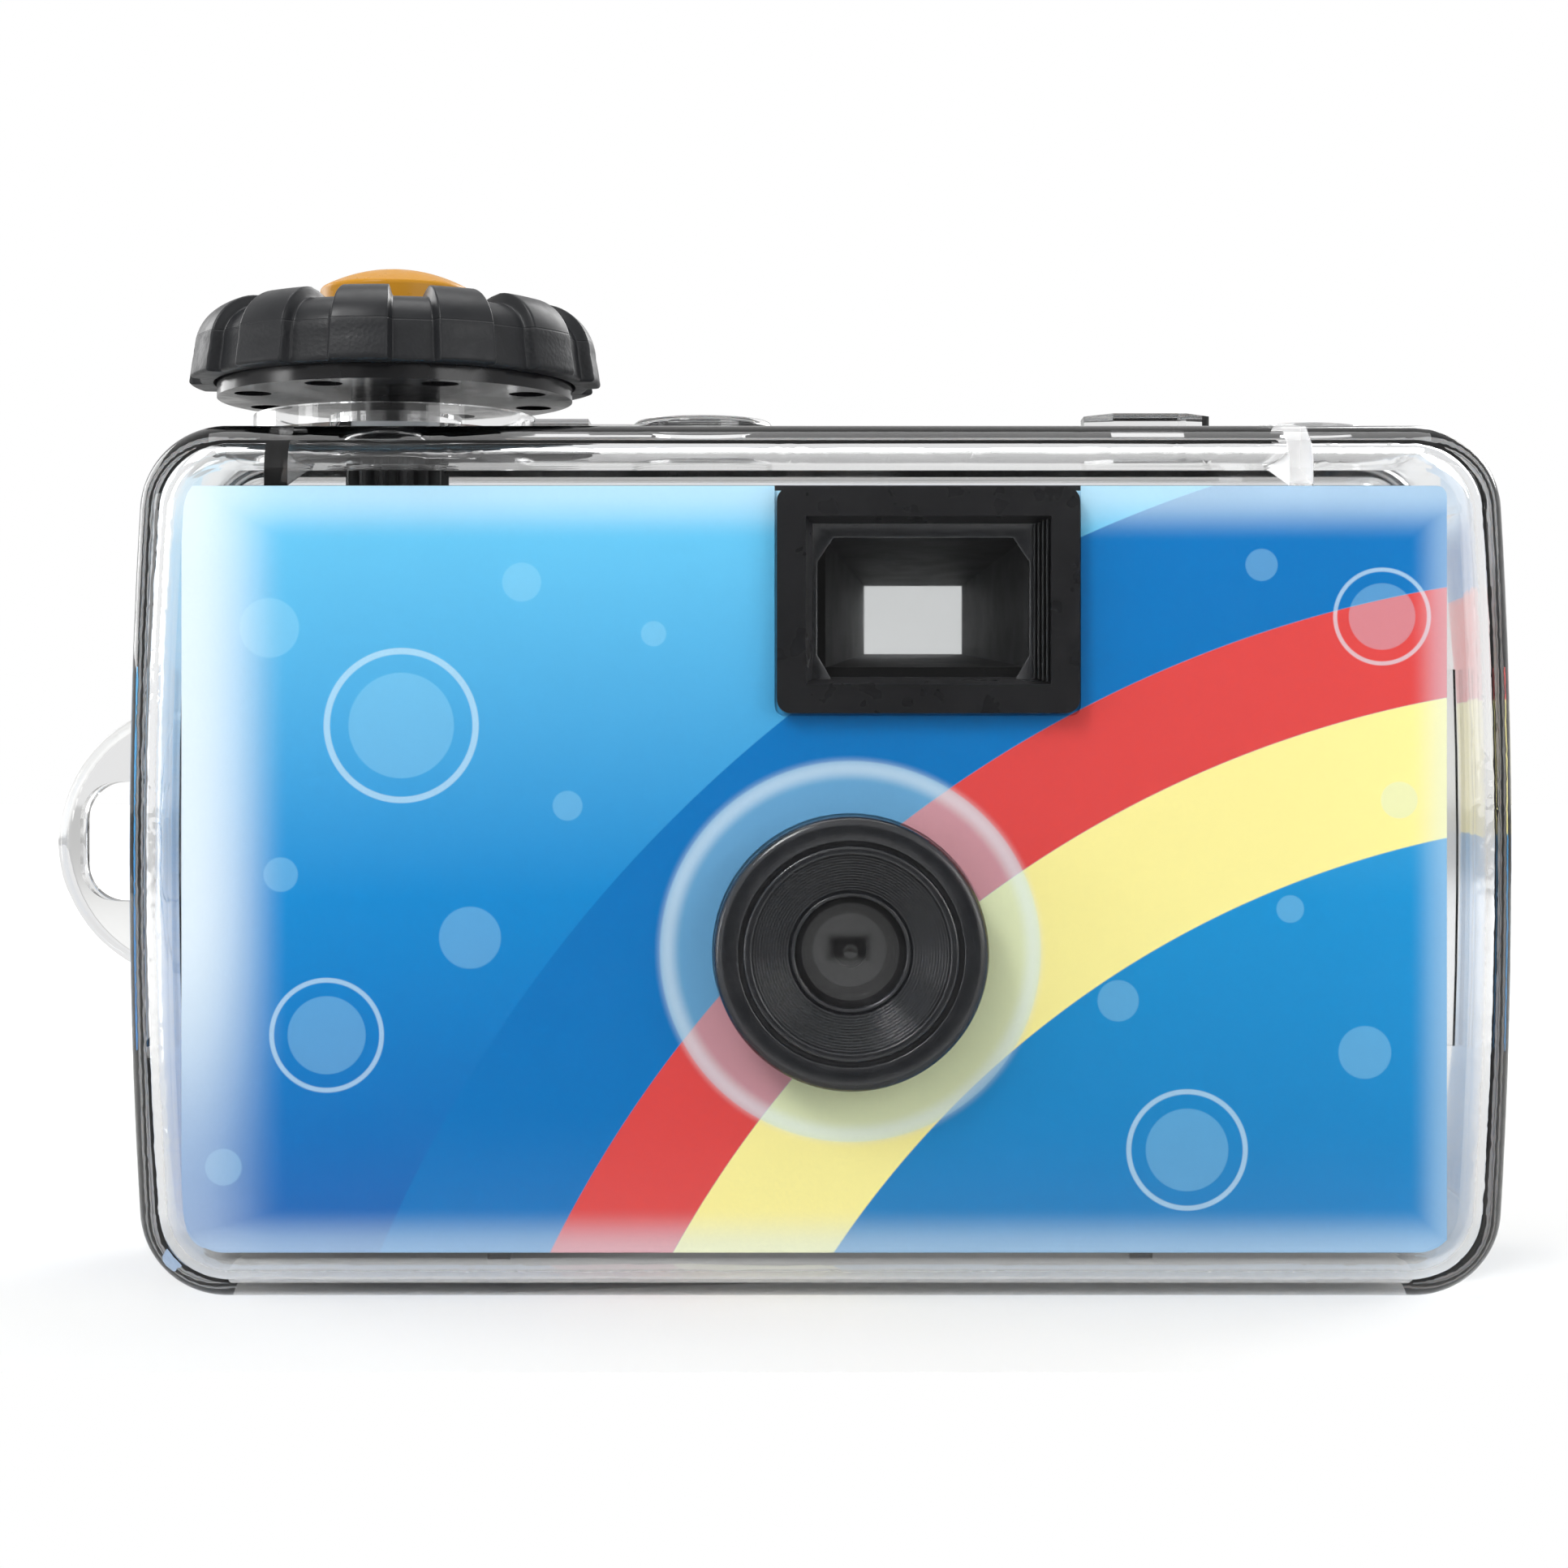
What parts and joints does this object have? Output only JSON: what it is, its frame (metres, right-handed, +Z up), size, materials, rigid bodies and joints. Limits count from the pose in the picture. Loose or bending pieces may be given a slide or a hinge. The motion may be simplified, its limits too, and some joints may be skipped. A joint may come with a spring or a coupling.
{
  "type": "disposable film camera",
  "caption": "Single use 35 mm film camera in a clear waterproof case, with a lobed winding knob, orange shutter button and lanyard lug.",
  "frame": {"origin": "middle of the case's flat base, at the depth of the camera's middle", "axes": "+X to the right as seen from the front, +Y to the back, +Z up"},
  "size_m": [0.1348, 0.045, 0.0905],
  "materials": {
    "clear_case": "glossy clear moulding",
    "seal_rubber": "soft grey silicone",
    "grip_rubber": "fine grained",
    "black_gloss": "glossy",
    "orange": "satin",
    "camera_plastic": "matte",
    "white_plastic": "satin",
    "printed_card": "coated print",
    "spring_steel": "drawn wire",
    "thin_steel": "stamped",
    "clear_lens": "polished",
    "cassette_metal": "printed",
    "film": "satin"
  },
  "bodies": {
    "case": {"front_case": "clear_case", "rear_case": "clear_case", "case_gasket": "seal_rubber", "card_sleeve": "printed_card", "front_cover": "camera_plastic", "rear_cover": "camera_plastic", "counter_window": "clear_lens", "chassis": "camera_plastic", "viewfinder_frame": "black_gloss", "viewfinder_lens": "clear_lens", "eyepiece_lens": "clear_lens", "lens_ring": "camera_plastic", "lens": "clear_lens", "aperture_plate": "camera_plastic", "blade_spring": "spring_steel", "striker_spring": "spring_steel", "cassette_shell": "cassette_metal", "cassette_caps": "thin_steel", "film_strip": "film"},
    "knob": {"knob_grip": "grip_rubber", "knob_body": "black_gloss", "shaft_o_ring": "seal_rubber", "drive_pinion": "white_plastic", "button_spring": "spring_steel"},
    "button": {"shutter_button": "orange", "plunger": "white_plastic", "plunger_o_ring": "seal_rubber"},
    "wind": {"wind_wheel": "camera_plastic", "wind_gear": "camera_plastic", "cassette_spool": "camera_plastic"},
    "sprocket_shaft": {"sprocket": "camera_plastic"},
    "supply": {"supply_spool": "camera_plastic", "film_roll": "film"},
    "counter": {"counter_dial": "white_plastic"},
    "release": {"release_button": "camera_plastic"},
    "latch": {"latch_lever": "camera_plastic"},
    "blade": {"shutter_blade": "thin_steel"},
    "striker": {"shutter_striker": "thin_steel"}
  },
  "joints": [
    {"name": "knob_turn", "type": "hinge", "parent": "case", "child": "knob", "pos_m": [-0.0384, -0.005, 0.078], "axis": [0, 0, 1], "continuous": true},
    {"name": "button_press", "type": "slide", "parent": "knob", "child": "button", "axis": [0, 0, -1], "range_m": [0, 0.002], "stiffness_N_per_m": 300, "springref_m": -0.002, "deforming": ["button_spring"]},
    {"name": "wind_turn", "type": "hinge", "parent": "case", "child": "wind", "pos_m": [-0.03915, 0.00307, 0.0717], "axis": [0, 0, 1], "continuous": true},
    {"name": "sprocket_turn", "type": "hinge", "parent": "case", "child": "sprocket_shaft", "pos_m": [-0.02, 0.00752, 0.04], "axis": [0, 0, 1], "continuous": true},
    {"name": "supply_turn", "type": "hinge", "parent": "case", "child": "supply", "pos_m": [0.038, 0.00417, 0.028], "axis": [0, 0, 1], "continuous": true},
    {"name": "counter_turn", "type": "hinge", "parent": "case", "child": "counter", "pos_m": [-0.0106, 0.0036, 0.064], "axis": [0, 0, 1], "continuous": true},
    {"name": "release_press", "type": "slide", "parent": "case", "child": "release", "axis": [0, 0, -1], "range_m": [0, 0.002]},
    {"name": "latch_swing", "type": "hinge", "parent": "case", "child": "latch", "pos_m": [-0.0251, -0.0126, 0.052], "axis": [0, 1, 0], "range_deg": [-17, 0]},
    {"name": "shutter_open", "type": "hinge", "parent": "case", "child": "blade", "pos_m": [0.01165, -0.0117, 0.0363], "axis": [0, -1, 0], "range_deg": [0, 30], "stiffness_Nm_per_rad": 0.0005, "springref_deg": -17.19},
    {"name": "striker_swing", "type": "hinge", "parent": "case", "child": "striker", "pos_m": [-0.00835, -0.0102, 0.0363], "axis": [0, 1, 0], "range_deg": [0, 25], "stiffness_Nm_per_rad": 0.0005, "springref_deg": -17.19}
  ],
  "couplings": [
    {"joint": "wind_turn", "follows": "knob_turn", "ratio": -0.92857},
    {"joint": "sprocket_turn", "follows": "knob_turn", "ratio": -1.0747},
    {"joint": "supply_turn", "follows": "knob_turn", "ratio": -0.7027},
    {"joint": "counter_turn", "follows": "knob_turn", "ratio": 0.035825},
    {"joint": "release_press", "follows": "button_press", "ratio": 1},
    {"joint": "latch_swing", "follows": "button_press", "rad_per_m": -140}
  ]
}
